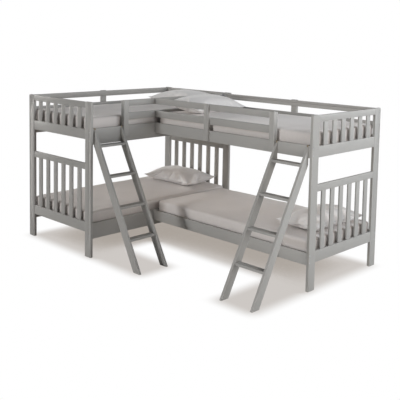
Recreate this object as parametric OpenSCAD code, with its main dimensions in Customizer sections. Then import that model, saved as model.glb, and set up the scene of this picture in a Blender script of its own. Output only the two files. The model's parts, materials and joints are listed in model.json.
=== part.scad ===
// L-shaped bunk bed: two bunks that share one inside corner.
// The left wing runs front to back, the right wing runs left to right behind its
// inner long side. Three alike end panels carry all the bed rails. Millimetres, +Z up.

/* [Bed frame] */
// Width of each wing, over the posts of its end panel
wing_w = 1090; // [1050:5:1180]
// Length of every bed rail between end panels
rail_len = 1955; // [1890:5:2050]
// How far the right wing's back stands in from the left wing's back
wing_step = 86; // [70:1:120]
// Post width, along the panel
post_w = 93; // [80:1:110]
// Post thickness, through the panel
post_t = 27; // [25:1:34]
// Post height
post_h = 1526; // [1515:1:1620]
// Bevel at the ends of posts
post_bevel = 3; // [1:0.5:6]

/* [Bed rails] */
// Bed rail thickness
rail_t = 26; // [22:1:32]
// How far the outer rails lie behind the post edge
rail_setback = 8; // [4:1:14]
// How far the left wing's inner rail lies behind the post edge
inner_setback = 12; // [6:1:24]
// Depth of the left wing's bed rails
left_rail_h = 155; // [140:1:170]
// Depth of the right wing's bed rails
right_rail_h = 107; // [95:1:125]
// Top of the upper bed rails above the floor
upper_top = 1267; // [1240:1:1280]
// Top of the lower bed rails above the floor
lower_top = 339; // [320:1:360]

/* [End panels] */
// Panel rails and slats lie this far behind the post faces
panel_setback = 1; // [0.5:0.5:3]
// Post top above the panel's top rail
post_rise = 3; // [1:1:10]
// Depth of the panel's top rail
top_rail_h = 57; // [45:1:70]
// Depth of the panel rail beside the upper bed
mid_rail_h = 97; // [85:1:110]
// Its top edge below the upper bed rails' top
mid_rail_drop = 10; // [4:1:20]
// Top of the lower section of the panel
low_section_top = 925; // [880:1:960]
// Depth of the rail along that top
low_rail_h = 61; // [50:1:75]
// Depth of the panel's bottom rail
bottom_rail_h = 98; // [85:1:110]
// Its top edge above the lower bed rails' top
bottom_rail_rise = 4; // [0:1:12]
// Panel slat width
pslat_w = 59; // [45:1:70]
// Panel slat thickness
pslat_t = 14; // [10:1:18]
// Panel slats in each section
pslat_n = 6; // [4:1:8]

/* [Guard rails] */
// Post top above the guard's top
guard_drop = 4; // [4:1:12]
// Depth of the guard's top rail
guard_top_h = 60; // [45:1:70]
// Depth of the guard's second rail
guard_mid_h = 67; // [50:1:75]
// Underside of the second rail above the bed rail
guard_mid_rise = 60; // [40:1:66]
// Width of the boards at the guard's ends and middle
board_w = 56; // [45:1:70]
// Thickness of the boards that lie over the guards
board_t = 24; // [18:1:28]
// Board top above the guard's top
board_rise = 4; // [0:1:4]
// How far the boards reach down over the bed rail
board_lap = 101; // [80:1:106]
// Width of the outer and back guards' middle upright
upright_w = 72; // [60:1:90]
// Middle of the outer guard's upright, from the front panel
outer_upright_from = 964; // [800:1:1100]
// Middle of the back guard's upright, from the right end panel
back_upright_from = 980; // [800:1:1100]
// Middle board's distance from the inside corner
mid_board_from = 728; // [500:1:900]

/* [Ladders] */
// Ladder width over the stringers
ladder_w = 354; // [320:1:400]
// Gap between the ladder and the guard's end board
ladder_gap = 3; // [2:0.5:6]
// Gap between the left ladder and the front panel
left_ladder_off = 17; // [4:1:60]
// Gap between the right ladder and the end panel
right_ladder_off = 12; // [4:1:60]
// Stringer thickness
string_t = 24; // [20:1:28]
// Stringer width, square to its length
string_w = 77; // [74:1:90]
// Lean from upright, in degrees
lean = 28.8; // [24:0.1:30]
// Height where the stringer's front edge meets the rail, below the rail's top
string_drop = 6; // [4:1:20]
// Small flat at the stringer's tip, below that height
tip_flat = 9; // [6:1:14]
// Rungs in each ladder
rung_n = 4; // [3:1:5]
// Top of the lowest rung
rung_first = 288; // [250:1:320]
// Top of the highest rung
rung_last = 1112; // [1050:1:1118]
// Rung thickness
rung_t = 22; // [18:1:26]
// Rung depth, front to back
rung_d = 70; // [55:1:70]

/* [Ladder hooks] */
// Hook plate thickness
hook_t = 3; // [2:0.5:5]
// Hook plate width, let into the stringer's back
hook_w = 14; // [10:1:18]
// Length of the plate below the stringer's tip
hook_leg_len = 90; // [60:1:100]
// How far the hook hangs down behind the rail
hook_drop = 14; // [8:1:20]

/* [Bed slats] */
// Bed slat width
slat_w = 70; // [55:1:85]
// Bed slat thickness
slat_t = 16; // [12:1:20]
// Bed slats under each mattress
slat_n = 11; // [8:1:14]
// Slat tops below the top of the upper bed rails
slat_drop = 56; // [45:1:60]
// Slat tops below the top of the lower bed rails
low_slat_drop = 62; // [50:1:62]
// First slat from the end of the rail
slat_from_end = 40; // [30:1:80]
// Gap at each slat end
slat_gap = 2; // [1:0.5:4]
// Ledger thickness
ledger_t = 22; // [18:1:26]
// Ledger depth
ledger_h = 28; // [20:1:32]
// Ledger's distance from the rail ends
ledger_end = 60; // [55:1:90]

/* [Fasteners] */
// Bolt shank radius
bolt_r = 3; // [2.5:0.5:4]
// Bolt head radius
head_r = 7; // [6:0.5:8]
// Bolt head thickness
head_h = 2.5; // [2:0.5:3]
// Depth of the counterbore for the head
sink = 3; // [3:0.5:5]
// Bolt length into the rail
bolt_in = 50; // [50:1:56]
// Barrel nut's distance from the rail end
nut_in = 40; // [34:1:42]
// Barrel nut radius
nut_r = 5; // [5:0.5:6]
// Wood left behind the barrel nut
nut_cover = 4; // [3:0.5:6]
// Bolt's distance from the edge of a left wing rail
bolt_edge_l = 36; // [24:1:44]
// Bolt's distance from the edge of a right wing rail
bolt_edge_r = 22; // [16:1:30]
// Radial clearance round bolts, heads and nuts
fit = 0.3; // [0.2:0.05:0.5]
// Leg of the corner brackets
brk_leg = 38; // [30:1:50]
// Thickness of the corner brackets
brk_t = 3; // [2:0.5:4]
// Height of the corner brackets on the bed rails
brk_h = 70; // [50:1:85]
// Height of the corner brackets on the guard rails
brk_guard_h = 40; // [30:1:44]

/* [Mattresses] */
// Mattress thickness
mat_t = 165; // [120:1:175]
// Gap at each end of a mattress
mat_end_gap = 12; // [8:1:26]
// Gap along each side of a mattress, in the narrower bed
mat_side_gap = 14; // [12:1:34]
// Corner radius of a mattress in plan
mat_r = 45; // [30:1:60]
// Edge radius of a mattress
mat_edge = 22; // [14:1:30]
// How far its sides draw in
mat_draw = 4; // [1:0.5:6]
// Crown of its top
mat_crown = 5; // [2:1:12]

/* [Pillows] */
// Pillow length
pil_l = 750; // [650:5:760]
// Pillow width
pil_w = 480; // [420:5:500]
// Pillow height in the middle
pil_h = 158; // [120:1:165]
// Share of that height below the seam
pil_low = 0.36; // [0.3:0.02:0.46]
// How far the sides draw in between the corners
pil_draw = 26; // [10:1:40]
// Lean of the left upper pillow toward its head end, in degrees
lean_lu = 3; // [-6:1:12]
// Its gap from the head end
gap_lu = 24; // [6:1:40]
// Its shift to the right of its head end's middle
side_lu = 70; // [-60:1:90]
// Lean of the left lower pillow toward its head end, in degrees
lean_ll = 3; // [-6:1:12]
// Its gap from the head end
gap_ll = 24; // [6:1:40]
// Its shift to the right of its head end's middle
side_ll = 6; // [-60:1:60]
// Lean of the right upper pillow toward its head end, in degrees
lean_ru = 8; // [-6:1:12]
// Its gap from the head end
gap_ru = 17; // [6:1:40]
// Its shift to the right of its head end's middle
side_ru = -34; // [-60:1:60]
// Lean of the right lower pillow toward its head end, in degrees
lean_rl = 0; // [-6:1:12]
// Its gap from the head end
gap_rl = 12; // [6:1:40]
// Its shift to the right of its head end's middle
side_rl = -28; // [-60:1:60]

/* [Fits] */
// Gap between pieces that lift off and what they rest on
soft_gap = 0.3; // [0.2:0.05:0.5]

/* [Hidden] */
$fn = 28;
eps = 1; // cutters run this far past a face

// Overall lines. X = 0 is the left wing's outer post edge, Y = 0 the front panel's face.
len_y = rail_len + 2 * post_t;
xo0 = rail_setback;                         // left outer rail, outer face
xo1 = xo0 + rail_t;                         // its inner face
xi1 = wing_w - inner_setback;               // left inner rail, outer face
xi0 = xi1 - rail_t;                         // its inner face
len_x = xi1 + rail_len + post_t;            // right end panel, outer face
xr0 = len_x - post_t;                       // its inner face
yw1 = len_y - wing_step;                    // right end panel, back edge
yf0 = yw1 - wing_w;                         // right front rail, outer face
yf1 = yf0 + rail_t;                         // its inner face
yb1 = yw1 - rail_setback;                   // right back rail, outer face
yb0 = yb1 - rail_t;                         // its inner face
proud = max(0, board_t - rail_setback);     // uprights stand this far past the posts
x_mid = (len_x - proud) / 2;                // middle of the whole, for the origin
y_mid = len_y / 2;

guard_top = post_h - guard_drop;
guard_mid0 = upper_top + guard_mid_rise;
guard_mid1 = guard_mid0 + guard_mid_h;
board_z0 = upper_top - board_lap;
board_z1 = guard_top + board_rise;
y_ladder = post_t + left_ladder_off;        // left ladder, near edge
y_board = y_ladder + ladder_w + ladder_gap; // inner guard's end, left wing
x_ladder = xr0 - right_ladder_off - ladder_w;   // right ladder, left edge
x_board = x_ladder - ladder_gap;            // front guard's end, right wing

slat_z = [upper_top - slat_drop, lower_top - low_slat_drop];   // slat tops
levels = [upper_top, lower_top];
clear_l = xi0 - xo1;
clear_r = yb0 - yf1;
mat_w = min(clear_l, clear_r) - 2 * mat_side_gap;
mat_l = rail_len - 2 * mat_end_gap;

module place() translate([-x_mid, -y_mid, 0]) children();

module box(x0, x1, y0, y1, z0, z1)
  translate([x0, y0, z0]) cube([x1 - x0, y1 - y0, z1 - z0]);

// ---- bolts: [x, y, z, way in, side of the open nut hole, wood under the head]
// way in: 0 is +Y, 1 is -Y, 2 is +X, 3 is -X
xo_c = xo0 + rail_t / 2;
xi_c = xi0 + rail_t / 2;
yf_c = yf0 + rail_t / 2;
yb_c = yb0 + rail_t / 2;
guard_zs = [guard_top - guard_top_h / 2, guard_mid0 + guard_mid_h / 2];

bolts_front = concat(
  [for (t = levels, k = [bolt_edge_l, left_rail_h - bolt_edge_l], s = [[xo_c, 1], [xi_c, -1]])
    [s[0], 0, t - k, 0, s[1], post_t]],
  [for (z = guard_zs) [xo_c, 0, z, 0, 1, post_t]]);
bolts_back = [for (b = concat(
  [for (t = levels, k = [bolt_edge_l, left_rail_h - bolt_edge_l], s = [[xo_c, 1], [xi_c, -1]])
    [s[0], t - k, s[1]]],
  [for (z = guard_zs, s = [[xo_c, 1], [xi_c, -1]]) [s[0], z, s[1]]]))
    [b[0], len_y, b[1], 1, b[2], post_t]];
bolts_right = concat(
  [for (t = levels, k = [bolt_edge_r, right_rail_h - bolt_edge_r], s = [[yf_c, 1], [yb_c, -1]])
    [len_x, s[0], t - k, 3, s[1], post_t]],
  [for (z = guard_zs) [len_x, yb_c, z, 3, -1, post_t]]);
bolts_corner = [for (s = [[yf_c, 1], [yb_c, -1]],
    z = concat([for (t = levels) t - bolt_edge_r], guard_zs))
  [xi0, s[0], z, 2, s[1], rail_t]];

module at_bolt(b) translate([b[0], b[1], b[2]])
  rotate(b[3] == 0 ? [-90, 0, 0] : b[3] == 1 ? [90, 0, 0] : b[3] == 2 ? [0, 90, 0] : [0, -90, 0])
    rotate([0, 0, b[3] > 1 ? 90 : 0]) children();

module bore(b) at_bolt(b) {
  translate([0, 0, -eps]) cylinder(r = bolt_r + fit, h = b[5] + bolt_in + fit + eps);
  translate([0, 0, -eps]) cylinder(r = head_r + fit, h = sink + eps);
  translate([0, 0, b[5] + nut_in]) rotate([0, 90 * b[4], 0])
    translate([0, 0, nut_cover - rail_t / 2])
      cylinder(r = nut_r + fit, h = rail_t - nut_cover + eps);
}
module bores(list) for (b = list) bore(b);

module bolt(b) at_bolt(b) difference() {
  union() {
    translate([0, 0, sink - head_h]) cylinder(r = head_r, h = head_h);
    translate([0, 0, sink]) cylinder(r = bolt_r, h = b[5] + bolt_in - sink);
  }
  translate([0, 0, sink - head_h - eps]) cylinder(r = bolt_r * 0.8, h = eps + head_h * 0.7, $fn = 6);
}
module barrel_nut(b) at_bolt(b) translate([0, 0, b[5] + nut_in]) difference() {
  rotate([0, 90 * b[4], 0]) translate([0, 0, nut_cover + fit - rail_t / 2])
    cylinder(r = nut_r, h = rail_t - nut_cover - fit);
  translate([0, 0, -nut_r - eps]) cylinder(r = bolt_r + fit, h = 2 * (nut_r + eps));
}
all_bolts = concat(bolts_front, bolts_back, bolts_right, bolts_corner);

// ---- end panels, drawn along X with the face at Y = 0
module post_blank() rotate([90, 0, 0]) translate([0, 0, -post_t]) linear_extrude(post_t)
  polygon([[post_bevel, 0], [post_w - post_bevel, 0], [post_w, post_bevel],
    [post_w, post_h - post_bevel], [post_w - post_bevel, post_h], [post_bevel, post_h],
    [0, post_h - post_bevel], [0, post_bevel]]);
module posts() { post_blank(); translate([wing_w - post_w, 0, 0]) post_blank(); }

top_z0 = post_h - post_rise - top_rail_h;
mid_z1 = upper_top - mid_rail_drop;
mid_z0 = mid_z1 - mid_rail_h;
low_z0 = low_section_top - low_rail_h;
bot_z1 = lower_top + bottom_rail_rise;
module prail(z0, h) box(post_w, wing_w - post_w, panel_setback, post_t - panel_setback, z0, z0 + h);
module panel_rails() {
  prail(top_z0, top_rail_h);
  prail(mid_z0, mid_rail_h);
  prail(low_z0, low_rail_h);
}
module panel_bottom() prail(bot_z1 - bottom_rail_h, bottom_rail_h);
pslat_gap = (wing_w - 2 * post_w - pslat_n * pslat_w) / (pslat_n + 1);
module panel_slats() for (i = [0 : pslat_n - 1], z = [[mid_z1, top_z0], [bot_z1, low_z0]])
  translate([post_w + pslat_gap + i * (pslat_w + pslat_gap), (post_t - pslat_t) / 2, z[0]])
    cube([pslat_w, pslat_t, z[1] - z[0]]);

module as_back() translate([0, len_y - post_t, 0]) children();
module as_right() translate([len_x, yf0, 0]) rotate([0, 0, 90]) children();

module left_front_posts() color("silver") place() difference() {
  posts(); bores(bolts_front); }
module left_front_rails() color("silver") place() panel_rails();
module left_front_bottom_rail() color("silver") place() panel_bottom();
module left_front_slats() color("gainsboro") place() panel_slats();
module left_back_posts() color("silver") place() difference() {
  as_back() posts(); bores(bolts_back); }
module left_back_rails() color("silver") place() as_back() panel_rails();
module left_back_bottom_rail() color("silver") place() as_back() panel_bottom();
module left_back_slats() color("gainsboro") place() as_back() panel_slats();
module right_end_posts() color("silver") place() difference() {
  as_right() posts(); bores(bolts_right); }
module right_end_rails() color("silver") place() as_right() panel_rails();
module right_end_bottom_rail() color("silver") place() as_right() panel_bottom();
module right_end_slats() color("gainsboro") place() as_right() panel_slats();

// ---- bed rails
module left_rail(x0, top) difference() {
  box(x0, x0 + rail_t, post_t, len_y - post_t, top - left_rail_h, top);
  bores(bolts_front); bores(bolts_back);
}
module left_upper_outer_rail() color("lightgrey") place() left_rail(xo0, upper_top);
module left_lower_outer_rail() color("lightgrey") place() left_rail(xo0, lower_top);
module left_upper_inner_rail() color("lightgrey") place() difference() {
  left_rail(xi0, upper_top); bores(bolts_corner); }
module left_lower_inner_rail() color("lightgrey") place() difference() {
  left_rail(xi0, lower_top); bores(bolts_corner); }

module right_front_rail(top) difference() {
  box(xi1, xr0, yf0, yf1, top - right_rail_h, top);
  bores(bolts_right); bores(bolts_corner);
}
module right_back_rail(top) difference() {
  box(xi1, xr0, yb0, yb1, top - right_rail_h, top);
  bores(bolts_right); bores(bolts_corner);
}
module right_upper_front_rail() color("lightgrey") place() right_front_rail(upper_top);
module right_lower_front_rail() color("lightgrey") place() right_front_rail(lower_top);
module right_upper_back_rail() color("lightgrey") place() right_back_rail(upper_top);
module right_lower_back_rail() color("lightgrey") place() right_back_rail(lower_top);

// ---- ledgers and bed slats
module left_ledgers(zt) for (x = [xo1, xi0 - ledger_t])
  box(x, x + ledger_t, post_t + ledger_end, len_y - post_t - ledger_end,
    zt - slat_t - ledger_h, zt - slat_t);
module right_ledgers(zt) for (y = [yf1, yb0 - ledger_t])
  box(xi1 + ledger_end, xr0 - ledger_end, y, y + ledger_t,
    zt - slat_t - ledger_h, zt - slat_t);
// the first and last slats lie over the ledgers' ends
slat_first = max(slat_from_end, ledger_end - slat_w / 2);
module left_slats(zt) for (i = [0 : slat_n - 1])
  translate([xo1 + slat_gap, post_t + slat_first
      + i * (rail_len - 2 * slat_first - slat_w) / (slat_n - 1), zt - slat_t])
    cube([clear_l - 2 * slat_gap, slat_w, slat_t]);
module right_slats(zt) for (i = [0 : slat_n - 1])
  translate([xi1 + slat_first
      + i * (rail_len - 2 * slat_first - slat_w) / (slat_n - 1), yf1 + slat_gap, zt - slat_t])
    cube([slat_w, clear_r - 2 * slat_gap, slat_t]);

module left_upper_ledgers() color("burlywood") place() left_ledgers(slat_z[0]);
module left_lower_ledgers() color("burlywood") place() left_ledgers(slat_z[1]);
module right_upper_ledgers() color("burlywood") place() right_ledgers(slat_z[0]);
module right_lower_ledgers() color("burlywood") place() right_ledgers(slat_z[1]);
module left_upper_bed_slats() color("wheat") place() left_slats(slat_z[0]);
module left_lower_bed_slats() color("wheat") place() left_slats(slat_z[1]);
module right_upper_bed_slats() color("wheat") place() right_slats(slat_z[0]);
module right_lower_bed_slats() color("wheat") place() right_slats(slat_z[1]);

// ---- guards
guard_spans = [[guard_top - guard_top_h, guard_top], [guard_mid0, guard_mid1]];
module outer_guard_rails() color("silver") place() difference() {
  for (z = guard_spans) box(xo0, xo1, post_t, len_y - post_t, z[0], z[1]);
  bores(bolts_front); bores(bolts_back);
}
outer_upright_y = post_t + outer_upright_from - upright_w / 2;
module outer_guard_upright() color("silver") place()
  box(xo0 - board_t, xo0, outer_upright_y, outer_upright_y + upright_w, board_z0, board_z1);
module back_guard_rails() color("silver") place() difference() {
  for (z = guard_spans) box(xi1, xr0, yb0, yb1, z[0], z[1]);
  bores(bolts_right); bores(bolts_corner);
}
back_upright_x = xr0 - back_upright_from - upright_w / 2;
module back_guard_upright() color("silver") place()
  box(back_upright_x, back_upright_x + upright_w, yb1, yb1 + board_t, board_z0, board_z1);
module inner_guard_rails() color("silver") place() difference() {
  for (z = guard_spans) box(xi0, xi1, y_board + board_w, len_y - post_t, z[0], z[1]);
  bores(bolts_back); bores(bolts_corner);
}
module inner_guard_stile() color("silver") place()
  box(xi0, xi1, y_board, y_board + board_w, upper_top, guard_top);
module inner_guard_board() color("silver") place()
  box(xi1, xi1 + board_t, y_board, y_board + board_w, board_z0, board_z1);
module front_guard_rails() color("silver") place() difference() {
  for (z = guard_spans) box(xi1, x_board - board_w, yf0, yf1, z[0], z[1]);
  bores(bolts_corner);
}
module front_guard_stile() color("silver") place()
  box(x_board - board_w, x_board, yf0, yf1, upper_top, guard_top);
module front_guard_mid_board() color("silver") place()
  box(xi1 + mid_board_from, xi1 + mid_board_from + board_w, yf0 - board_t, yf0,
    board_z0, board_z1);
module front_guard_end_board() color("silver") place()
  box(x_board - board_w, x_board, yf0 - board_t, yf0, board_z0, board_z1);

// ---- corner brackets, inside the right wing's two left corners
module bracket(y, side, z0, h) {
  box(xi1, xi1 + brk_leg, side > 0 ? y : y - brk_t, side > 0 ? y + brk_t : y, z0, z0 + h);
  box(xi1, xi1 + brk_t, side > 0 ? y : y - brk_leg, side > 0 ? y + brk_leg : y, z0, z0 + h);
}
module corner_brackets() color("dimgray") place() for (c = [[yf1, 1], [yb0, -1]]) {
  for (t = levels) bracket(c[0], c[1], t - right_rail_h + (right_rail_h - brk_h) / 2, brk_h);
  for (z = guard_zs) bracket(c[0], c[1], z - brk_guard_h / 2, brk_guard_h);
}
module bolts() color("dimgray") place() for (b = all_bolts) bolt(b);
module barrel_nuts() color("dimgray") place() for (b = all_bolts) barrel_nut(b);

// ---- ladders, drawn with the rail face at X = 0 and the width along Y
tan_l = tan(lean);
string_x = string_w / cos(lean);            // stringer width on the level
z_face = upper_top - string_drop;           // the front edge would meet the rail here
z_tip = z_face - tip_flat;
function front_x(z) = (z_face - z) * tan_l;
function back_x(z) = front_x(z) - string_x;
hook_z0 = z_tip - hook_leg_len;
hook_z1 = upper_top + soft_gap;
module stringer() difference() {
  rotate([90, 0, 0]) translate([0, 0, -string_t]) linear_extrude(string_t)
    polygon([[back_x(0), 0], [front_x(0), 0], [front_x(z_tip), z_tip], [soft_gap, z_tip],
      [soft_gap, z_face - (string_x + soft_gap) / tan_l]]);
  box(-1, soft_gap + hook_t, (string_t - hook_w) / 2, (string_t + hook_w) / 2, hook_z0, z_tip + 1);
}
module stringers() { stringer(); translate([0, ladder_w - string_t, 0]) stringer(); }
module rungs() for (i = [0 : rung_n - 1]) {
  z = rung_first + i * (rung_last - rung_first) / (rung_n - 1);
  x1 = front_x(z);
  box(max(x1 - rung_d, soft_gap), x1, string_t, ladder_w - string_t, z - rung_t, z);
}
// a bent plate let into the stringer's back, over the rail's top and down behind it
module hook() translate([0, (string_t + hook_w) / 2, 0]) rotate([90, 0, 0]) linear_extrude(hook_w)
  polygon([[soft_gap, hook_z0], [soft_gap + hook_t, hook_z0],
    [soft_gap + hook_t, hook_z1 + hook_t], [-rail_t - soft_gap - hook_t, hook_z1 + hook_t],
    [-rail_t - soft_gap - hook_t, upper_top - hook_drop],
    [-rail_t - soft_gap, upper_top - hook_drop], [-rail_t - soft_gap, hook_z1],
    [soft_gap, hook_z1]]);
module hooks() { hook(); translate([0, ladder_w - string_t, 0]) hook(); }
module as_left_ladder() translate([xi1, y_ladder, 0]) children();
module as_right_ladder() translate([x_ladder, yf0, 0]) rotate([0, 0, -90]) children();

module left_ladder_stringers() color("darkgray") place() as_left_ladder() stringers();
module left_ladder_rungs() color("lightgrey") place() as_left_ladder() rungs();
module left_ladder_hooks() color("goldenrod") place() as_left_ladder() hooks();
module right_ladder_stringers() color("darkgray") place() as_right_ladder()
  stringers();
module right_ladder_rungs() color("lightgrey") place() as_right_ladder() rungs();
module right_ladder_hooks() color("goldenrod") place() as_right_ladder() hooks();

// ---- mattresses: rings of a rounded rectangle, stacked up a drawn-in side to a crown
ring_k = 5;                                 // steps in each rounded corner
ring_n = 4 * (ring_k + 1);
function ring(l, w, r, z) = [for (c = [0 : 3], k = [0 : ring_k])
  let (a = 90 * (c + k / ring_k),
       sx = (c == 0 || c == 3) ? 1 : -1, sy = c < 2 ? 1 : -1)
  [sx * (l / 2 - r) + r * cos(a), sy * (w / 2 - r) + r * sin(a), z]];
function mat_profile() = concat(
  [for (a = [0 : 30 : 90]) [mat_edge * (1 - sin(a)), mat_edge * (1 - cos(a))]],
  [for (s = [0.25 : 0.25 : 0.75]) [mat_draw * sin(180 * s), mat_edge + s * (mat_t - 2 * mat_edge)]],
  [for (a = [0 : 30 : 90]) [mat_edge * (1 - cos(a)),
    mat_t - mat_crown - mat_edge * (1 - sin(a))]],
  [for (s = [0.15, 0.4, 0.8]) [mat_edge + s * (mat_w / 2 - 2 * mat_edge),
    mat_t - mat_crown * pow(1 - s, 2)]]);
module mattress() {
  prof = mat_profile();
  m = len(prof);
  pts = [for (p = prof) each ring(mat_l - 2 * p[0], mat_w - 2 * p[0], max(mat_r - p[0], 4), p[1])];
  polyhedron(points = pts, faces = concat(
    [for (k = [1 : ring_n - 2]) [0, k, k + 1]],
    [for (j = [0 : m - 2], k = [0 : ring_n - 1])
      let (a = j * ring_n + k, b = j * ring_n + (k + 1) % ring_n)
      each [[a, a + ring_n, b], [b, a + ring_n, b + ring_n]]],
    [for (k = [1 : ring_n - 2]) [(m - 1) * ring_n, (m - 1) * ring_n + k + 1, (m - 1) * ring_n + k]]));
}
mat_lx = (xo1 + xi0) / 2;
mat_ly = len_y / 2;
mat_rx = (xi1 + xr0) / 2;
mat_ry = (yf1 + yb0) / 2;
mat_z = [for (z = slat_z) z + soft_gap];
mat_top = [for (z = mat_z) z + mat_t];
module left_mattress(i) translate([mat_lx, mat_ly, mat_z[i]]) rotate([0, 0, 90]) mattress();
module right_mattress(i) translate([mat_rx, mat_ry, mat_z[i]]) mattress();
module left_upper_mattress() color("thistle") place() left_mattress(0);
module left_lower_mattress() color("thistle") place() left_mattress(1);
module right_upper_mattress() color("thistle") place() right_mattress(0);
module right_lower_mattress() color("thistle") place() right_mattress(1);

// ---- pillows: a crowned case with pointed corners and sides drawn in between them
pu = 16; // cells along
pv = 12; // cells across
function pil_x(u, v) = pil_l / 2 * u - pil_draw * u * (1 - v * v);
function pil_y(u, v) = pil_w / 2 * v - pil_draw * v * (1 - u * u);
function pil_f(u, v) = pow((1 - u * u) * (1 - v * v), 0.55);
function grid_u(i) = sin(90 * (2 * i / pu - 1));
function grid_v(j) = sin(90 * (2 * j / pv - 1));
function pil_pt(i, j, top) = let (u = grid_u(i), v = grid_v(j), f = pil_f(u, v))
  [pil_x(u, v), pil_y(u, v), top ? pil_h * (1 - pil_low) * f : -pil_h * pil_low * (1 - pow(1 - f, 2))];
function lean_pt(p, t) = [p[0], p[1] * cos(t) - p[2] * sin(t), p[1] * sin(t) + p[2] * cos(t)];
function pil_pts(t) = concat(
  [for (j = [0 : pv], i = [0 : pu]) lean_pt(pil_pt(i, j, true), t)],
  [for (j = [1 : pv - 1], i = [1 : pu - 1]) lean_pt(pil_pt(i, j, false), t)]);
function top_id(i, j) = j * (pu + 1) + i;
function low_id(i, j) = (i == 0 || i == pu || j == 0 || j == pv) ? top_id(i, j)
  : (pu + 1) * (pv + 1) + (j - 1) * (pu - 1) + i - 1;
// each cell is split along the line that runs out to the nearest corner
function cell(a, b, c, d, i, j) = ((i < pu / 2) == (j < pv / 2))
  ? [[a, b, c], [a, c, d]] : [[b, c, d], [b, d, a]];
// set down on the mattress, its head side a gap from the head end, which is drawn at Y = 0
module pillow(t, gap, side) {
  pts = pil_pts(t);
  low = min([for (p = pts) p[2]]);
  far = max([for (p = pts) p[1]]);
  translate([side, -far - gap, -low + soft_gap]) polyhedron(points = pts, faces = concat(
    [for (j = [0 : pv - 1], i = [0 : pu - 1])
      each cell(top_id(i, j), top_id(i, j + 1), top_id(i + 1, j + 1), top_id(i + 1, j), i, j)],
    [for (j = [0 : pv - 1], i = [0 : pu - 1])
      each cell(low_id(i, j), low_id(i + 1, j), low_id(i + 1, j + 1), low_id(i, j + 1), i, j)]));
}
module left_upper_pillow() color("lavender") place()
  translate([mat_lx, len_y - post_t, mat_top[0]]) pillow(lean_lu, gap_lu, side_lu);
module left_lower_pillow() color("lavender") place()
  translate([mat_lx, len_y - post_t, mat_top[1]]) pillow(lean_ll, gap_ll, side_ll);
module right_upper_pillow() color("lavender") place()
  translate([xi1, mat_ry, mat_top[0]]) rotate([0, 0, 90]) pillow(lean_ru, gap_ru, side_ru);
module right_lower_pillow() color("lavender") place()
  translate([xr0, mat_ry, mat_top[1]]) rotate([0, 0, -90]) pillow(lean_rl, gap_rl, side_rl);

left_front_posts();
left_front_rails();
left_front_bottom_rail();
left_front_slats();
left_back_posts();
left_back_rails();
left_back_bottom_rail();
left_back_slats();
right_end_posts();
right_end_rails();
right_end_bottom_rail();
right_end_slats();
left_upper_outer_rail();
left_upper_inner_rail();
left_lower_outer_rail();
left_lower_inner_rail();
right_upper_front_rail();
right_upper_back_rail();
right_lower_front_rail();
right_lower_back_rail();
left_upper_ledgers();
left_lower_ledgers();
right_upper_ledgers();
right_lower_ledgers();
left_upper_bed_slats();
left_lower_bed_slats();
right_upper_bed_slats();
right_lower_bed_slats();
outer_guard_rails();
outer_guard_upright();
back_guard_rails();
back_guard_upright();
inner_guard_rails();
inner_guard_stile();
inner_guard_board();
front_guard_rails();
front_guard_stile();
front_guard_mid_board();
front_guard_end_board();
left_ladder_stringers();
left_ladder_rungs();
left_ladder_hooks();
right_ladder_stringers();
right_ladder_rungs();
right_ladder_hooks();
left_upper_mattress();
left_lower_mattress();
right_upper_mattress();
right_lower_mattress();
left_upper_pillow();
left_lower_pillow();
right_upper_pillow();
right_lower_pillow();
bolts();
barrel_nuts();
corner_brackets();
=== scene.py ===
# %% [markdown]
# # An L-shaped bunk bed in grey painted wood
# The frame of this scene is the bed's own construction: every board, ladder and bolt comes from it at its real size
# and place. Blender adds what the construction leaves out: softened edges, paint over wood grain, metal, and the
# mattresses and pillows as stuffed cloth. Lengths are in metres, +Z is up.

# %% Load the construction
import json
import math
import random

import bmesh
import bpy
import numpy as np
from mathutils import Matrix, Vector


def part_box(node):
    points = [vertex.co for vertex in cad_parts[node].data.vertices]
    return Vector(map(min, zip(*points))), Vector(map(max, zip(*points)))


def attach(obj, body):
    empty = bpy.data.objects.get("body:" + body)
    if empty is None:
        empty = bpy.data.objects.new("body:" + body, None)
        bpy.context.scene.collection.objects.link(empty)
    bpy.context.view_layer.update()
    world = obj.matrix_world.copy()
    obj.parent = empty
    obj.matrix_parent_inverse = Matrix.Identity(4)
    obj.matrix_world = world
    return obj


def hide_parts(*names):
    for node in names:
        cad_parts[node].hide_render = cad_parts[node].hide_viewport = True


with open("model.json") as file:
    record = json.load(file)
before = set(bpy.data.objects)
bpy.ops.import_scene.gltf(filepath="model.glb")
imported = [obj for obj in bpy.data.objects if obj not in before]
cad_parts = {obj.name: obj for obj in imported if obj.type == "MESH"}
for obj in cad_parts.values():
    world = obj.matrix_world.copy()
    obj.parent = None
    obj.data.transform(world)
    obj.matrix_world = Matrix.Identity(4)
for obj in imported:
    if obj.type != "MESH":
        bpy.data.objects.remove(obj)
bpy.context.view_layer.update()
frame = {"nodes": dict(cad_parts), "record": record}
record = frame["record"]

# %% [markdown]
# ## Camera
# The photograph keeps its upright lines parallel, as an architect's camera does: level, with the lens shifted down to
# take the whole bed in. A shift that large would push the bed out of the frame from other sides. So this camera tips
# down a little, its lens is shifted by the rest, and the upright lines lean by a pixel or two at most. The horizon
# runs about one degree off level.

# %% Camera
PHOTO_SIDE = 400                      # the photograph's width and height, in pixels
FOCAL_PIXELS = 690.5                  # focal length, in those pixels
AXIS_PIXEL = (188.2, 100.0)           # where the lens axis meets the picture
CAMERA_PLACE = (4.874, -4.962, 2.170)
CAMERA_YAW = math.radians(45.24)
CAMERA_TIP = math.radians(-5.28)
CAMERA_ROLL = math.radians(0.98)
SENSOR = 36.0                         # millimetres

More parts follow.
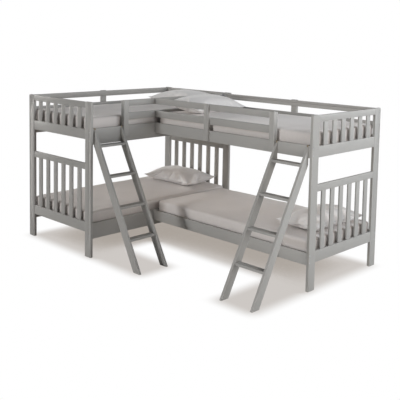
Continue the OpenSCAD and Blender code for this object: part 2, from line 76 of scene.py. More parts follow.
bpy.ops.object.camera_add()
camera = bpy.context.object
camera.name = "camera"
turn = (Matrix.Rotation(CAMERA_YAW, 4, "Z") @ Matrix.Rotation(math.pi / 2 + CAMERA_TIP, 4, "X")
        @ Matrix.Rotation(CAMERA_ROLL, 4, "Z"))
camera.matrix_world = Matrix.Translation(CAMERA_PLACE) @ turn
camera.data.sensor_width = SENSOR
camera.data.lens = FOCAL_PIXELS / PHOTO_SIDE * SENSOR
camera.data.shift_x = (PHOTO_SIDE / 2 - AXIS_PIXEL[0]) / PHOTO_SIDE
camera.data.shift_y = (AXIS_PIXEL[1] - PHOTO_SIDE / 2) / PHOTO_SIDE
camera.data.clip_end = 100
bpy.context.scene.camera = camera
print("lens", round(camera.data.lens, 2), "shift", round(camera.data.shift_x, 3), round(camera.data.shift_y, 3))

# %% [markdown]
# ## Light
# The photograph was lit from the sides, low and wide: upright faces are bright, the left wing's inner faces are dark
# because the right wing stands in their light, and each ladder side shades the next. Suns stand in for far lamps, and
# two softboxes hang to the right, so the right end is the brightest. Low lamps are warm and high ones are cooler.

# %% Lamps
WARM = (1.0, 0.972, 0.93)
COOL = (0.84, 0.92, 1.0)


def direction(azimuth, height):
    """The unit vector toward a lamp, from two angles in degrees. Azimuth 0 is +X and 90 is +Y."""
    turn, rise = math.radians(azimuth), math.radians(height)
    return Vector((math.cos(rise) * math.cos(turn), math.cos(rise) * math.sin(turn), math.sin(rise)))


def aim(lamp, toward):
    """Turns a lamp so that its light comes from the given direction."""
    lamp.rotation_euler = toward.to_track_quat("Z", "Y").to_euler()


def add_sun(name, azimuth, height, strength, spread, colour):
    """A far lamp, as wide as its spread in degrees."""
    bpy.ops.object.light_add(type="SUN")
    lamp = bpy.context.object
    lamp.name = name
    aim(lamp, direction(azimuth, height))
    lamp.data.energy = strength
    lamp.data.angle = math.radians(spread)
    lamp.data.color = colour


def add_softbox(name, place, size, watts, colour):
    """A square softbox that faces the bed's middle."""
    bpy.ops.object.light_add(type="AREA", location=place)
    lamp = bpy.context.object
    lamp.name = name
    aim(lamp, Vector(place) - Vector((0.2, 0, 0.7)))
    lamp.data.size = size
    lamp.data.energy = watts
    lamp.data.color = colour


add_sun("left_low", 180, 11, 2.18, 30, WARM)
add_sun("left_high", 180, 32, 0.38, 30, COOL)
add_sun("back_low", 90, 12, 0.95, 30, WARM)
add_sun("front_low", 268, 9, 1.02, 12, WARM)
add_sun("front_middle", 263, 22, 0.44, 4, COOL)
add_sun("back_right_low", 38, 13, 0.60, 18, WARM)
add_softbox("right_back_box", (4.0, 1.5, 3.0), 2.0, 82, COOL)
add_softbox("right_front_box", (4.2, -0.8, 2.2), 1.6, 33, WARM)

# %% White world
WORLD_STRENGTH = 0.03
WORLD_TINT = (0.97, 0.975, 1.0, 1.0)
world = bpy.data.worlds.new("studio_white")
bpy.context.scene.world = world
world.use_nodes = True
w_nodes, w_links = world.node_tree.nodes, world.node_tree.links
w_nodes.clear()
w_out = w_nodes.new("ShaderNodeOutputWorld")
w_mix = w_nodes.new("ShaderNodeMixShader")
w_path = w_nodes.new("ShaderNodeLightPath")
w_seen = w_nodes.new("ShaderNodeMath")
w_seen.operation = "MAXIMUM"
w_light = w_nodes.new("ShaderNodeBackground")
w_light.inputs["Color"].default_value = WORLD_TINT
w_light.inputs["Strength"].default_value = WORLD_STRENGTH
w_white = w_nodes.new("ShaderNodeBackground")
w_white.inputs["Color"].default_value = (1, 1, 1, 1)
w_links.new(w_path.outputs["Is Camera Ray"], w_seen.inputs[0])
w_links.new(w_path.outputs["Is Transmission Ray"], w_seen.inputs[1])
w_links.new(w_seen.outputs[0], w_mix.inputs[0])
w_links.new(w_light.outputs[0], w_mix.inputs[1])
w_links.new(w_white.outputs[0], w_mix.inputs[2])
w_links.new(w_mix.outputs[0], w_out.inputs["Surface"])
bpy.context.scene.view_settings.view_transform = "Standard"
print("world strength", WORLD_STRENGTH)

# %% [markdown]
# ## Floor
# White paper that lights the bed from below. In the photograph the floor was cut out to plain white, but for a soft
# warm shade straight under the beds and ladders. So for camera rays alone the paper shows white, with a soft patch of
# shade under each of them. Where the bed hides much of the sky from the floor, the shade is deeper.

# %% Floor
FLOOR_HALF = 30.0
FLOOR_PAPER = (0.86, 0.85, 0.835, 1.0)
SHADE_PALE = (0.610, 0.578, 0.552, 1.0)
SHADE_DEEP = (0.392, 0.352, 0.314, 1.0)
SHADE_MARGIN = 0.045                  # how far the middle of the soft edge lies outside the piece overhead
SHADE_FEATHER = 0.10                  # half the width of the soft edge
SHADE_REACH = 1.3                     # how high over the floor the bed still hides the sky
SKY_DEEP, SKY_PALE = 0.04, 0.34       # share of sky where the shade is deepest, and where it is pale
OVERHEAD = ("left_lower_mattress", "right_lower_mattress", "left_ladder_stringers", "right_ladder_stringers")

bpy.ops.mesh.primitive_plane_add(size=2 * FLOOR_HALF, location=(0, 0, -0.0005))
floor = bpy.context.object
floor.name = "floor"
paper = bpy.data.materials.new("floor_paper")
paper.use_nodes = True
f_nodes, f_links = paper.node_tree.nodes, paper.node_tree.links
f_nodes.clear()


def floor_math(operation, first, second):
    """A Math node of the floor whose two inputs are sockets or plain numbers."""
    node = f_nodes.new("ShaderNodeMath")
    node.operation = operation
    for place, value in enumerate((first, second)):
        if isinstance(value, (int, float)):
            node.inputs[place].default_value = value
        else:
            f_links.new(value, node.inputs[place])
    return node.outputs[0]


def floor_range(value, start, end):
    """0 before the start and 1 past the end, with a smooth step between."""
    node = f_nodes.new("ShaderNodeMapRange")
    node.interpolation_type = "SMOOTHSTEP"
    node.inputs["From Min"].default_value = start
    node.inputs["From Max"].default_value = end
    f_links.new(value, node.inputs["Value"])
    return node.outputs["Result"]


def floor_mix(share, first, second):
    """A colour between two, each a socket or a plain colour."""
    node = f_nodes.new("ShaderNodeMix")
    node.data_type = "RGBA"
    f_links.new(share, node.inputs["Factor"])
    for label, value in (("A", first), ("B", second)):
        socket = next(s for s in node.inputs if s.name == label and s.type == "RGBA")
        if isinstance(value, tuple):
            socket.default_value = value
        else:
            f_links.new(value, socket)
    return next(s for s in node.outputs if s.type == "RGBA")


def patch_under(node, east, north):
    """A soft-edged mask of the floor straight under a piece."""
    low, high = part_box(node)
    mask = 1.0
    for place, start, end in ((east, low.x, high.x), (north, low.y, high.y)):
        start, end = start - SHADE_MARGIN, end + SHADE_MARGIN
        mask = floor_math("MULTIPLY", floor_range(place, start - SHADE_FEATHER, start + SHADE_FEATHER), mask)
        mask = floor_math("MULTIPLY", floor_range(place, end + SHADE_FEATHER, end - SHADE_FEATHER), mask)
    return mask


f_place = f_nodes.new("ShaderNodeNewGeometry")
f_split = f_nodes.new("ShaderNodeSeparateXYZ")
f_links.new(f_place.outputs["Position"], f_split.inputs[0])
shade = 0.0
for name in OVERHEAD:
    shade = floor_math("ADD", patch_under(name, f_split.outputs["X"], f_split.outputs["Y"]), shade)
    shade = floor_math("MINIMUM", shade, 1.0)
f_sky = f_nodes.new("ShaderNodeAmbientOcclusion")
f_sky.inputs["Distance"].default_value = SHADE_REACH
f_sky.samples = 16
open_sky = floor_range(f_sky.outputs["AO"], SKY_DEEP, SKY_PALE)
under = floor_mix(open_sky, SHADE_DEEP, SHADE_PALE)
f_seen = f_nodes.new("ShaderNodeEmission")
f_links.new(floor_mix(shade, (1.0, 1.0, 1.0, 1.0), under), f_seen.inputs["Color"])
f_body = f_nodes.new("ShaderNodeBsdfDiffuse")
f_body.inputs["Color"].default_value = FLOOR_PAPER
f_path = f_nodes.new("ShaderNodeLightPath")
f_pick = f_nodes.new("ShaderNodeMixShader")
f_out = f_nodes.new("ShaderNodeOutputMaterial")
f_links.new(f_path.outputs["Is Camera Ray"], f_pick.inputs[0])
f_links.new(f_body.outputs[0], f_pick.inputs[1])
f_links.new(f_seen.outputs[0], f_pick.inputs[2])
f_links.new(f_pick.outputs[0], f_out.inputs["Surface"])
floor.data.materials.append(paper)
print("floor", floor.dimensions[:2], "shade under", OVERHEAD)

# %% [markdown]
# ## Shared shader effects
# Each effect is a node group with named sockets. Wood grain follows a vector that every board carries, with its
# first number along the board, so the grain runs the right way on rails, posts and leaning ladder sides alike.

# %% Helpers for node groups
def new_group(name, inputs, outputs):
    """A shader group. inputs is a list of (name, type, default), outputs a list of (name, type)."""
    group = bpy.data.node_groups.new(name, "ShaderNodeTree")
    for label, kind, value in inputs:
        socket = group.interface.new_socket(label, in_out="INPUT", socket_type=kind)
        if value is not None:
            socket.default_value = value
    for label, kind in outputs:
        group.interface.new_socket(label, in_out="OUTPUT", socket_type=kind)
    return group, group.nodes.new("NodeGroupInput"), group.nodes.new("NodeGroupOutput")


def math_node(tree, operation, first, second):
    """A Math node whose two inputs are sockets or plain numbers."""
    node = tree.nodes.new("ShaderNodeMath")
    node.operation = operation
    for place, value in enumerate((first, second)):
        if isinstance(value, (int, float)):
            node.inputs[place].default_value = value
        else:
            tree.links.new(value, node.inputs[place])
    return node.outputs[0]


def stretched(tree, vector, scale):
    """The vector, scaled by a different factor along each axis."""
    node = tree.nodes.new("ShaderNodeMapping")
    node.inputs["Scale"].default_value = scale
    tree.links.new(vector, node.inputs["Vector"])
    return node.outputs["Vector"]


def noise(tree, vector, scale, detail=3.0, rough=0.5):
    """A noise texture's value, from 0 to 1."""
    node = tree.nodes.new("ShaderNodeTexNoise")
    node.inputs["Scale"].default_value = scale
    node.inputs["Detail"].default_value = detail
    node.inputs["Roughness"].default_value = rough
    tree.links.new(vector, node.inputs["Vector"])
    return node.outputs["Fac"]


def levels(tree, value, low, high, new_low=0.0, new_high=1.0):
    """Stretches the values between low and high to the new ones, and clamps the rest."""
    node = tree.nodes.new("ShaderNodeMapRange")
    for label, number in (("From Min", low), ("From Max", high), ("To Min", new_low), ("To Max", new_high)):
        node.inputs[label].default_value = number
    tree.links.new(value, node.inputs["Value"])
    return node.outputs["Result"]


# %% Group: wood grain
grain_group, g_in, g_out = new_group(
    "wood_grain",
    [("Vector", "NodeSocketVector", None), ("Ring Scale", "NodeSocketFloat", 1.0)],
    [("Rings", "NodeSocketFloat"), ("Pores", "NodeSocketFloat"), ("Cloud", "NodeSocketFloat")])
g_scaled = grain_group.nodes.new("ShaderNodeVectorMath")
g_scaled.operation = "SCALE"
grain_group.links.new(g_in.outputs["Vector"], g_scaled.inputs[0])
grain_group.links.new(g_in.outputs["Ring Scale"], g_scaled.inputs["Scale"])
g_bent = stretched(grain_group, g_scaled.outputs[0], (0.9, 14.0, 14.0))
g_rings = noise(grain_group, g_bent, 3.0, 4.0, 0.55)
g_fold = math_node(grain_group, "SINE", math_node(grain_group, "MULTIPLY", g_rings, 42.0), 0.0)
g_pores = noise(grain_group, stretched(grain_group, g_scaled.outputs[0], (6.0, 260.0, 260.0)), 2.2, 2.0)
g_cloud = noise(grain_group, stretched(grain_group, g_scaled.outputs[0], (1.0, 3.0, 3.0)), 2.0, 2.0)
grain_group.links.new(levels(grain_group, g_fold, -1.0, 1.0), g_out.inputs["Rings"])
grain_group.links.new(levels(grain_group, g_pores, 0.3, 0.7), g_out.inputs["Pores"])
grain_group.links.new(g_cloud, g_out.inputs["Cloud"])
print("group", grain_group.name)

# %% Group: woven cloth
weave_group, v_in, v_out = new_group(
    "woven_cloth",
    [("Vector", "NodeSocketVector", None), ("Threads", "NodeSocketFloat", 1400.0)],
    [("Threads", "NodeSocketFloat"), ("Slub", "NodeSocketFloat"), ("Cloud", "NodeSocketFloat")])
v_split = weave_group.nodes.new("ShaderNodeSeparateXYZ")
weave_group.links.new(v_in.outputs["Vector"], v_split.inputs[0])
v_waves = []
for v_axis in ("X", "Y", "Z"):
    v_step = math_node(weave_group, "MULTIPLY", v_split.outputs[v_axis], v_in.outputs["Threads"])
    v_waves.append(math_node(weave_group, "SINE", v_step, 0.0))
v_cross = math_node(weave_group, "MULTIPLY", v_waves[0], v_waves[1])
v_all = math_node(weave_group, "ADD", v_cross, v_waves[2])
v_slub = noise(weave_group, stretched(weave_group, v_in.outputs["Vector"], (30.0, 400.0, 30.0)), 1.0, 2.0)
v_cloud = noise(weave_group, v_in.outputs["Vector"], 3.5, 3.0)
weave_group.links.new(levels(weave_group, v_all, -2.0, 2.0), v_out.inputs["Threads"])
weave_group.links.new(v_slub, v_out.inputs["Slub"])
weave_group.links.new(v_cloud, v_out.inputs["Cloud"])
print("group", weave_group.name)

# %% [markdown]
# ## Finishes
# The paint is a satin warm grey with the pine's grain just telling through it, a little lighter along the softened
# edges where a hand or a sander has been. The hidden slats are bare pine. The hooks are dull old brass and the
# bolts zinc. Cloth is a smooth cotton with a soft sheen.

# %% Helpers for materials
def new_material(name):
    """A material with one Principled shader. Returns the material, its node tree and the shader."""
    material = bpy.data.materials.new(name)
    material.use_nodes = True
    return material, material.node_tree, material.node_tree.nodes["Principled BSDF"]


def attribute(tree, name, output):
    """A value that the mesh itself carries."""
    node = tree.nodes.new("ShaderNodeAttribute")
    node.attribute_name = name
    return node.outputs[output]


def mix_colour(tree, share, first, second):
    """Mixes two colours, each a socket or a plain colour, by a socket."""
    node = tree.nodes.new("ShaderNodeMix")
    node.data_type = "RGBA"
    tree.links.new(share, node.inputs["Factor"])
    for label, value in (("A", first), ("B", second)):
        socket = next(s for s in node.inputs if s.name == label and s.type == "RGBA")
        if isinstance(value, tuple):
            socket.default_value = value
        else:
            tree.links.new(value, socket)
    return next(s for s in node.outputs if s.type == "RGBA")


def add_bump(tree, shader, height, distance, strength=1.0):
    """Bumps the shader's normal by a height socket."""
    node = tree.nodes.new("ShaderNodeBump")
    node.inputs["Strength"].default_value = strength
    node.inputs["Distance"].default_value = distance
    tree.links.new(height, node.inputs["Height"])
    tree.links.new(node.outputs["Normal"], shader.inputs["Normal"])


def use_group(tree, group, vector, **values):
    """Places a shared effect and sets its named numbers."""
    node = tree.nodes.new("ShaderNodeGroup")
    node.node_tree = group
    tree.links.new(vector, node.inputs["Vector"])
    for label, number in values.items():
        node.inputs[label.replace("_", " ")].default_value = number
    return node


# %% Painted wood
PAINT = (0.392, 0.380, 0.365, 1.0)
PAINT_DEEP = (0.352, 0.341, 0.326, 1.0)
PAINT_EDGE = (0.455, 0.442, 0.425, 1.0)


def make_painted_wood():
    """Satin grey paint over pine."""
    material, tree, shader = new_material("painted_wood")
    grain = use_group(tree, grain_group, attribute(tree, "grain", "Vector"), Ring_Scale=1.0)
    rings, pores, cloud = (grain.outputs[k] for k in ("Rings", "Pores", "Cloud"))
    tone = attribute(tree, "tone", "Fac")
    shade = math_node(tree, "MULTIPLY", levels(tree, cloud, 0.3, 0.7), 0.35)
    shade = math_node(tree, "ADD", shade, math_node(tree, "MULTIPLY", rings, 0.15))
    shade = math_node(tree, "ADD", shade, math_node(tree, "MULTIPLY", tone, 0.5))
    colour = mix_colour(tree, shade, PAINT, PAINT_DEEP)
    worn = math_node(tree, "MULTIPLY", attribute(tree, "edge", "Fac"), levels(tree, pores, 0.2, 0.9, 0.35, 0.9))
    colour = mix_colour(tree, worn, colour, PAINT_EDGE)
    tree.links.new(colour, shader.inputs["Base Color"])
    tree.links.new(levels(tree, pores, 0.0, 1.0, 0.40, 0.52), shader.inputs["Roughness"])
    height = math_node(tree, "ADD", math_node(tree, "MULTIPLY", rings, 0.35), pores)
    add_bump(tree, shader, height, 0.00018, 0.6)
    return material


# %% Bare pine
def make_bare_pine():
    """Sanded pine of the slats and ledgers, with darker late wood."""
    material, tree, shader = new_material("bare_pine")
    grain = use_group(tree, grain_group, attribute(tree, "grain", "Vector"), Ring_Scale=1.2)
    rings, pores = grain.outputs["Rings"], grain.outputs["Pores"]
    late = math_node(tree, "POWER", rings, 3.0)
    colour = mix_colour(tree, late, (0.60, 0.43, 0.25, 1.0), (0.42, 0.25, 0.11, 1.0))
    colour = mix_colour(tree, math_node(tree, "MULTIPLY", attribute(tree, "tone", "Fac"), 0.5),
                        colour, (0.66, 0.52, 0.34, 1.0))
    tree.links.new(colour, shader.inputs["Base Color"])
    tree.links.new(levels(tree, pores, 0.0, 1.0, 0.55, 0.75), shader.inputs["Roughness"])
    add_bump(tree, shader, math_node(tree, "ADD", late, pores), 0.0002, 0.6)
    return material


# %% Metals
def make_metal(name, colour, dull, rough_low, rough_high):
    """Plated steel with a faint cloudy film."""
    material, tree, shader = new_material(name)
    place = tree.nodes.new("ShaderNodeTexCoord").outputs["Object"]
    film = noise(tree, place, 180.0, 4.0)
    tree.links.new(mix_colour(tree, levels(tree, film, 0.35, 0.7), colour, dull), shader.inputs["Base Color"])
    tree.links.new(levels(tree, film, 0.3, 0.7, rough_low, rough_high), shader.inputs["Roughness"])
    shader.inputs["Metallic"].default_value = 1.0
    add_bump(tree, shader, noise(tree, place, 900.0, 2.0), 0.0001, 0.3)
    return material


# %% Cloth
def make_cloth(name, colour, shade, sheen, thread_bump):
    """Smooth woven cotton: fine threads, a cloudy tone and a soft sheen."""
    material, tree, shader = new_material(name)
    place = tree.nodes.new("ShaderNodeTexCoord").outputs["Object"]
    weave = use_group(tree, weave_group, place, Threads=2600.0)
    mottled = math_node(tree, "ADD", math_node(tree, "MULTIPLY", weave.outputs["Cloud"], 0.6),
                        math_node(tree, "MULTIPLY", weave.outputs["Slub"], 0.4))
    tree.links.new(mix_colour(tree, levels(tree, mottled, 0.35, 0.68), colour, shade), shader.inputs["Base Color"])
    tree.links.new(levels(tree, weave.outputs["Slub"], 0.3, 0.7, 0.78, 0.9), shader.inputs["Roughness"])
    shader.inputs["Sheen Weight"].default_value = sheen
    shader.inputs["Sheen Roughness"].default_value = 0.45
    shader.inputs["Specular IOR Level"].default_value = 0.25
    height = math_node(tree, "ADD", weave.outputs["Threads"], weave.outputs["Slub"])
    add_bump(tree, shader, height, thread_bump, 0.5)
    return material


FINISH = {
    "painted_wood": make_painted_wood(),
    "bare_pine": make_bare_pine(),
    "zinc_steel": make_metal("zinc_steel", (0.62, 0.62, 0.63, 1.0), (0.44, 0.44, 0.45, 1.0), 0.28, 0.48),
    "hook_brass": make_metal("hook_brass", (0.30, 0.25, 0.18, 1.0), (0.22, 0.18, 0.13, 1.0), 0.45, 0.60),
    "sheet": make_cloth("sheet", (0.700, 0.656, 0.634, 1.0), (0.650, 0.608, 0.588, 1.0), 0.15, 0.0003),
    "pillowcase": make_cloth("pillowcase", (0.815, 0.787, 0.774, 1.0), (0.770, 0.742, 0.728, 1.0), 0.15, 0.0003)}
print("finishes", sorted(FINISH))

# %% [markdown]
# ## Boards
# Every wooden piece is a sawn board whose edges were eased before painting. A copy of the board from the
# construction is cleaned, and a bevel is put on its long edges alone, so that bolt holes keep their shape. Each board
# also gets its own grain direction and a slight tone of its own, kept on the mesh.

# %% Helpers for boards
BOARD_EASE = 0.0022                   # radius of an eased edge
SHARP = math.radians(30)
SHORTEST_EASED = 0.004                # edges of bolt holes are shorter than this
TONES = random.Random(7)


def copy_of_node(node, name):
    """The node's mesh as a new object, merged and cleaned of needless edges."""
    piece = bpy.data.objects.new(name, frame["nodes"][node].data.copy())
    bpy.context.collection.objects.link(piece)
    bpy.ops.object.select_all(action="DESELECT")
    piece.select_set(True)
    bpy.context.view_layer.objects.active = piece
    bpy.ops.object.mode_set(mode="EDIT")
    bpy.ops.mesh.select_all(action="SELECT")
    bpy.ops.mesh.remove_doubles(threshold=0.00001)
    bpy.ops.mesh.dissolve_limited(angle_limit=math.radians(0.5))
    bpy.ops.object.mode_set(mode="OBJECT")
    return piece


def ease_edges(piece, width, shortest):
    """Bevels the sharp edges that are longer than the given length."""
    shape = bmesh.new()
    shape.from_mesh(piece.data)
    weight = shape.edges.layers.float.get("bevel_weight_edge") or shape.edges.layers.float.new("bevel_weight_edge")
    for edge in shape.edges:
        sharp = len(edge.link_faces) == 2 and edge.calc_face_angle(0.0) > SHARP
        edge[weight] = 1.0 if sharp and edge.calc_length() > shortest else 0.0
    shape.to_mesh(piece.data)
    shape.free()
    bevel = piece.modifiers.new("ease", "BEVEL")
    bevel.limit_method = "WEIGHT"
    bevel.width = width
    bevel.segments = 2
    bpy.ops.object.modifier_apply(modifier=bevel.name)


def loose_parts(mesh):
    """For each vertex, the number of the loose part that it belongs to."""
    parent = list(range(len(mesh.vertices)))

    def root(i):
        while parent[i] != i:
            parent[i] = parent[parent[i]]
            i = parent[i]
        return i

    for edge in mesh.edges:
        a, b = root(edge.vertices[0]), root(edge.vertices[1])
        parent[a] = b
    roots = [root(i) for i in range(len(parent))]
    order = {r: k for k, r in enumerate(sorted(set(roots)))}
    return np.array([order[r] for r in roots]), len(order)


# %% Grain, tone and edge kept on the mesh
def carry_grain(piece, narrow_face):
    """Gives each loose board a grain vector along its length, a tone, and a mask on its eased edges."""
    mesh = piece.data
    points = np.array([v.co for v in mesh.vertices])
    part, count = loose_parts(mesh)
    grain, tone = np.zeros_like(points), np.zeros(len(points))
    for k in range(count):
        mine = part == k
        centred = points[mine] - points[mine].mean(0)
        axes = np.linalg.svd(centred, full_matrices=False)[2]
        shift = np.array([TONES.uniform(-5, 5), TONES.uniform(-1, 1), TONES.uniform(-1, 1)])
        grain[mine] = centred @ axes.T + shift
        tone[mine] = TONES.uniform(0, 1)
    mesh.attributes.new("grain", "FLOAT_VECTOR", "POINT").data.foreach_set("vector", grain.ravel())
    mesh.attributes.new("tone", "FLOAT", "POINT").data.foreach_set("value", tone)
    edge = mesh.attributes.new("edge", "FLOAT", "CORNER")
    for face in mesh.polygons:
        narrow = face.area / max(face_length(mesh, face), 1e-6) < narrow_face
        for loop in face.loop_indices:
            edge.data[loop].value = 1.0 if narrow else 0.0
    return count


def face_length(mesh, face):
    """A face's longest side."""
    corners = [mesh.vertices[v].co for v in face.vertices]
    return max((a - b).length for a, b in zip(corners, corners[1:] + corners[:1]))


def dress_board(node, body, slot):
    """Replaces a wooden node by its eased copy."""
    piece = copy_of_node(node, node + "_eased")
    ease_edges(piece, BOARD_EASE, SHORTEST_EASED)
    bpy.ops.object.shade_smooth_by_angle(angle=math.radians(35))
    count = carry_grain(piece, BOARD_EASE * 1.2)
    piece.data.materials.clear()
    piece.data.materials.append(FINISH[slot])
    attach(piece, body)
    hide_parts(node)
    return count


# %% Dress every board
SLOT_OF = {part["node"]: part["material_slot"] for part in record["subparts"]}
BODY_OF = {node: body for body, nodes in record["behaviour"]["bodies"].items() for node in nodes}
boards = [n for n in sorted(SLOT_OF) if SLOT_OF[n] in ("painted_wood", "bare_pine")]
total = sum(dress_board(n, BODY_OF[n], SLOT_OF[n]) for n in boards)
print(len(boards), "nodes dressed,", total, "separate boards")

# %% [markdown]
# ## Fastenings
# The bolts, nuts and brackets keep their shape from the construction. The ladder hooks are bent plate, so their
# edges are eased as well, by much less.

# %% Metal parts
HOOK_EASE = 0.0006
for node in ("bolts", "barrel_nuts", "corner_brackets"):
    mesh = frame["nodes"][node].data
    mesh.materials.clear()
    mesh.materials.append(FINISH["zinc_steel"])
for node in ("left_ladder_hooks", "right_ladder_hooks"):
    hook = copy_of_node(node, node + "_eased")
    ease_edges(hook, HOOK_EASE, HOOK_EASE)
    bpy.ops.object.shade_smooth_by_angle(angle=math.radians(35))
    hook.data.materials.clear()
    hook.data.materials.append(FINISH["hook_brass"])
    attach(hook, BODY_OF[node])
    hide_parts(node)
print("hooks and fastenings done")

# %% [markdown]
# ## Mattresses
# Each is a foam block in a fitted cover: a box with rounded corners and edges, its top a little crowned. The cover
# pulls folds out of its corners, and the long top shows slow waves and a few creases.

# %% Helpers for soft pieces
def select_only(piece):
    """Makes one object the selected and active one."""
    bpy.ops.object.select_all(action="DESELECT")
    piece.select_set(True)
    bpy.context.view_layer.objects.active = piece


def points_of(piece):
    """The mesh's points as an array."""
    flat = np.empty(len(piece.data.vertices) * 3)
    piece.data.vertices.foreach_get("co", flat)
    return flat.reshape(-1, 3)


def set_points(piece, points):
    """Writes the points back."""
    piece.data.vertices.foreach_set("co", np.ascontiguousarray(points).ravel())
    piece.data.update()


def finish_soft(piece, node, slot):
    """Shades a padded piece smooth, gives it its finish, hangs it on the node's body and hides the node it stands
    for.
    """
    select_only(piece)
    bpy.ops.object.shade_smooth()
    piece.data.materials.clear()
    piece.data.materials.append(FINISH[slot])
    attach(piece, BODY_OF[node])
    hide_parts(node)
    print(node, len(piece.data.polygons), "faces")


# %% Mattress shape
MATTRESS_ROUND = 0.028                # upright corners
MATTRESS_EDGE = 0.019                 # top and bottom edges
MATTRESS_CELL = 0.016


def mattress_block(node):
    """A box of the node's size with rounded corners, cut into even cells."""
    low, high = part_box(node)
    size, middle = high - low, (high + low) / 2
    bpy.ops.object.select_all(action="DESELECT")
    bpy.ops.mesh.primitive_cube_add(size=1, location=middle)
    piece = bpy.context.object
    piece.name = node + "_cover"
    piece.scale = size
    bpy.ops.object.transform_apply(location=True, rotation=True, scale=True)
    bpy.ops.object.mode_set(mode="EDIT")
    shape = bmesh.from_edit_mesh(piece.data)
    for edge in shape.edges:
        a, b = (v.co for v in edge.verts)
        edge.select_set(abs(a.z - b.z) > size.z / 2)
    bmesh.update_edit_mesh(piece.data)
    bpy.ops.mesh.bevel(offset=MATTRESS_ROUND, segments=5)
    bpy.ops.mesh.select_all(action="DESELECT")
    shape = bmesh.from_edit_mesh(piece.data)
    for face in shape.faces:
        if abs(face.normal.z) > 0.9:
            for edge in face.edges:
                edge.select_set(True)
    bmesh.update_edit_mesh(piece.data)
    bpy.ops.mesh.bevel(offset=MATTRESS_EDGE, segments=4)
    bpy.ops.object.mode_set(mode="OBJECT")
    remesh = piece.modifiers.new("even", "REMESH")
    remesh.mode = "VOXEL"
    remesh.voxel_size = MATTRESS_CELL
    bpy.ops.object.modifier_apply(modifier=remesh.name)
    return piece


def wave(points, length, seed):
    """A slow smooth wave over the plan, from a few sines with seeded turns."""
    dice = random.Random(seed)
    total = np.zeros(len(points))
    for octave in range(3):
        angle, phase = dice.uniform(0, math.pi), dice.uniform(0, 6.3)
        along = points[:, 0] * math.cos(angle) + points[:, 1] * math.sin(angle)
        total += np.sin(along * 6.283 / (length / (1 + 0.6 * octave)) + phase) / (1 + octave)
    return total / 1.8


def crease(points, start, end, width):
    """A shallow fold in plan between two points: 1 on its line, fading out within its width."""
    start, end = np.array(start), np.array(end)
    along = end - start
    share = np.clip(((points[:, :2] - start) @ along) / (along @ along), 0, 1)
    away = np.linalg.norm(points[:, :2] - start - share[:, None] * along, axis=1)
    return np.exp(-(away / width) ** 2) * np.sin(np.pi * share)


def make_mattress(node, seed):
    """The node's mattress, with a crown, slow waves, creases and corner folds."""
    piece = mattress_block(node)
    low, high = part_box(node)
    points = points_of(piece)
    middle = np.array((low + high) / 2)
    half = np.array((high - low) / 2)
    u = (points - middle) / half
    upper = np.clip(u[:, 2], 0, 1)
    inside = np.clip(1 - np.maximum(abs(u[:, 0]), abs(u[:, 1])), 0, 1)
    dice = random.Random(seed)
    rise = -0.006 * (1 - np.clip(inside / 0.35, 0, 1)) ** 2 + 0.0032 * wave(points, 0.55, seed)
    for _ in range(5):
        start = [middle[k] + half[k] * dice.uniform(-0.85, 0.85) for k in (0, 1)]
        turn = dice.uniform(0, 6.3)
        reach = dice.uniform(0.15, 0.4)
        end = [start[0] + reach * math.cos(turn), start[1] + reach * math.sin(turn)]
        rise -= 0.0035 * crease(points, start, end, 0.012) - 0.0025 * crease(
            points, [start[0] + 0.02, start[1] + 0.015], [end[0] + 0.02, end[1] + 0.015], 0.014)
    points[:, 2] += upper * rise
    side = np.clip((np.maximum(abs(u[:, 0]), abs(u[:, 1])) - 0.9) / 0.1, 0, 1)
    corner = np.exp(-((1 - abs(u[:, 0])) * half[0] / 0.10) ** 2) * np.exp(-((1 - abs(u[:, 1])) * half[1] / 0.10) ** 2)
    ripple = np.sin((points[:, 0] - points[:, 1]) * 150 + u[:, 2] * 2.0) * corner * side * 0.0022
    sag = 0.003 * (1 - u[:, 2] ** 2) * side
    outward = np.sign(u[:, :2]) * (abs(u[:, :2]) > 0.9)
    points[:, 0] += outward[:, 0] * (ripple - sag)
    points[:, 1] += outward[:, 1] * (ripple - sag)
    points[:, 2] = np.clip(points[:, 2], low.z, high.z + 0.004)
    set_points(piece, points)
    select_only(piece)
    smooth = piece.modifiers.new("smooth", "SMOOTH")
    smooth.factor, smooth.iterations = 0.5, 2
    bpy.ops.object.modifier_apply(modifier=smooth.name)
    finer = piece.modifiers.new("finer", "SUBSURF")
    finer.levels = finer.render_levels = 1
    bpy.ops.object.modifier_apply(modifier=finer.name)
    finish_soft(piece, node, "sheet")
    return piece


# %% Four mattresses
mattresses = [n for n in sorted(SLOT_OF) if SLOT_OF[n] == "sheet"]
for number, node in enumerate(mattresses):
    make_mattress(node, 21 + number)

# %% [markdown]
# ## Pillows
# A pillow is a flat sewn case that its filling blows up: the middle rises, the sides draw in, and the corners stay as
# thin points. Two layers of cloth are sewn at the edge and blown up by a short cloth simulation. The result is then
# set to the pillow's real box, leaned as it lies, and flattened where it rests on the mattress.

# %% Pillow shape
PILLOW_CELLS = (76, 50)
PILLOW_FLAT = 0.012
PILLOW_FRAMES = 22


def flat_case(node, length, width):
    """Two flat layers sewn at the edge, as a thin closed box with even cells."""
    bpy.ops.object.select_all(action="DESELECT")
    bpy.ops.mesh.primitive_grid_add(x_subdivisions=PILLOW_CELLS[0], y_subdivisions=PILLOW_CELLS[1], size=1)
    piece = bpy.context.object
    piece.name = node + "_case"
    piece.scale = (length, width, 1)
    bpy.ops.object.transform_apply(location=True, rotation=True, scale=True)
    bpy.ops.object.mode_set(mode="EDIT")
    bpy.ops.mesh.select_all(action="SELECT")
    bpy.ops.mesh.extrude_region_move(TRANSFORM_OT_translate={"value": (0, 0, PILLOW_FLAT)})
    bpy.ops.mesh.select_all(action="SELECT")
    bpy.ops.mesh.normals_make_consistent(inside=False)
    bpy.ops.object.mode_set(mode="OBJECT")
    return piece


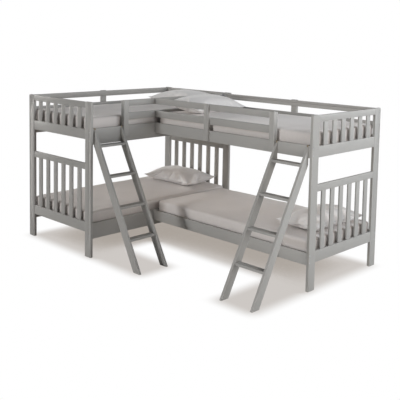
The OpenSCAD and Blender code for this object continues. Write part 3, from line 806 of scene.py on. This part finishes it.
def blow_up(piece, pressure, shrink):
    """Runs the cloth simulation on the case and keeps its last shape."""
    scene = bpy.context.scene
    select_only(piece)
    cloth = piece.modifiers.new("fill", "CLOTH")
    settings = cloth.settings
    settings.quality = 6
    settings.mass = 0.25
    settings.effector_weights.gravity = 0.0
    settings.use_pressure = True
    settings.uniform_pressure_force = pressure
    settings.shrink_min = shrink
    settings.tension_stiffness = settings.compression_stiffness = 18
    settings.shear_stiffness = 8
    settings.bending_stiffness = 0.35
    settings.air_damping = 2.0
    cloth.collision_settings.use_self_collision = False
    cloth.point_cache.frame_start, cloth.point_cache.frame_end = 1, PILLOW_FRAMES
    for step in range(1, PILLOW_FRAMES + 1):
        scene.frame_set(step)
    bpy.ops.object.modifier_apply(modifier=cloth.name)
    scene.frame_set(1)


# %% Pillow set down
PILLOW_SIZE = (0.750, 0.480, 0.157)
PILLOW_LOW = 0.36                     # share of the height below the seam
SEAM_SOFT = {"left_upper_pillow": 0.08, "left_lower_pillow": 0.15,
             "right_upper_pillow": 0.13, "right_lower_pillow": 0.15}    # how far in from the seam the case is thin
CORNER_LIFT = {"left_upper_pillow": 0.026, "left_lower_pillow": 0.014,
               "right_upper_pillow": 0.010, "right_lower_pillow": 0.014}
HEAD_TURN = {"left": 0.0, "right_upper": 90.0, "right_lower": -90.0}
PILLOW_LEAN = {"left_upper_pillow": 3.0, "left_lower_pillow": 3.0,
               "right_upper_pillow": 7.0, "right_lower_pillow": 0.0}


def from_seam(piece, length, width, reach):
    """For each point of the flat case, 0 at the sewn edge and 1 well inside, and 1 only at the corners."""
    flat = points_of(piece)
    inward = np.minimum(length / 2 - abs(flat[:, 0]), width / 2 - abs(flat[:, 1]))
    share = np.clip(inward / reach, 0, 1)
    corner = (abs(flat[:, 0]) / (length / 2) * abs(flat[:, 1]) / (width / 2)) ** 4
    return share * (2 - share), corner


def make_pillow(node, seed):
    """The node's pillow, blown up, leaned and laid down in its box."""
    low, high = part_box(node)
    middle = (low + high) / 2
    length, width = PILLOW_SIZE[0] * 1.05, PILLOW_SIZE[1] * 1.07
    piece = flat_case(node, length, width)
    inside, corner = from_seam(piece, length, width, SEAM_SOFT[node])
    blow_up(piece, 3.2, -0.02)
    points = points_of(piece)
    points -= (points.max(0) + points.min(0)) / 2
    points[:, 2] *= 0.30 + 0.70 * inside
    points *= np.array(PILLOW_SIZE) / (points.max(0) - points.min(0))
    half = PILLOW_SIZE[2] / 2
    below = points[:, 2] < 0
    depth = PILLOW_SIZE[2] * PILLOW_LOW
    sunk = 1 - (1 - np.clip(-points[:, 2] / half, 0, 1)) ** 2
    points[:, 2] = np.where(below, -depth * sunk, points[:, 2] * 2 * (1 - PILLOW_LOW))
    points[:, 2] += 0.003 * wave(points, 0.22, seed) * (~below) * inside + CORNER_LIFT[node] * corner
    set_points(piece, points)
    select_only(piece)
    smooth = piece.modifiers.new("smooth", "SMOOTH")
    smooth.factor, smooth.iterations = 0.5, 4
    bpy.ops.object.modifier_apply(modifier=smooth.name)
    finer = piece.modifiers.new("finer", "SUBSURF")
    finer.levels = finer.render_levels = 1
    bpy.ops.object.modifier_apply(modifier=finer.name)
    points = points_of(piece)
    points *= np.array(PILLOW_SIZE) / (points.max(0) - points.min(0))
    side = "left" if node.startswith("left") else node.replace("_pillow", "")
    lean, turn = math.radians(PILLOW_LEAN[node]), math.radians(HEAD_TURN[side])
    spin = np.array(Matrix.Rotation(turn, 3, "Z") @ Matrix.Rotation(lean, 3, "X"))
    points = points @ spin.T
    points[:, :2] += np.array(middle)[:2] - (points.max(0) + points.min(0))[:2] / 2
    points[:, 2] += low.z - points[:, 2].min()
    set_points(piece, points)
    finish_soft(piece, node, "pillowcase")


# %% Four pillows
pillows = [n for n in sorted(SLOT_OF) if SLOT_OF[n] == "pillowcase"]
for number, node in enumerate(pillows):
    make_pillow(node, 41 + number)
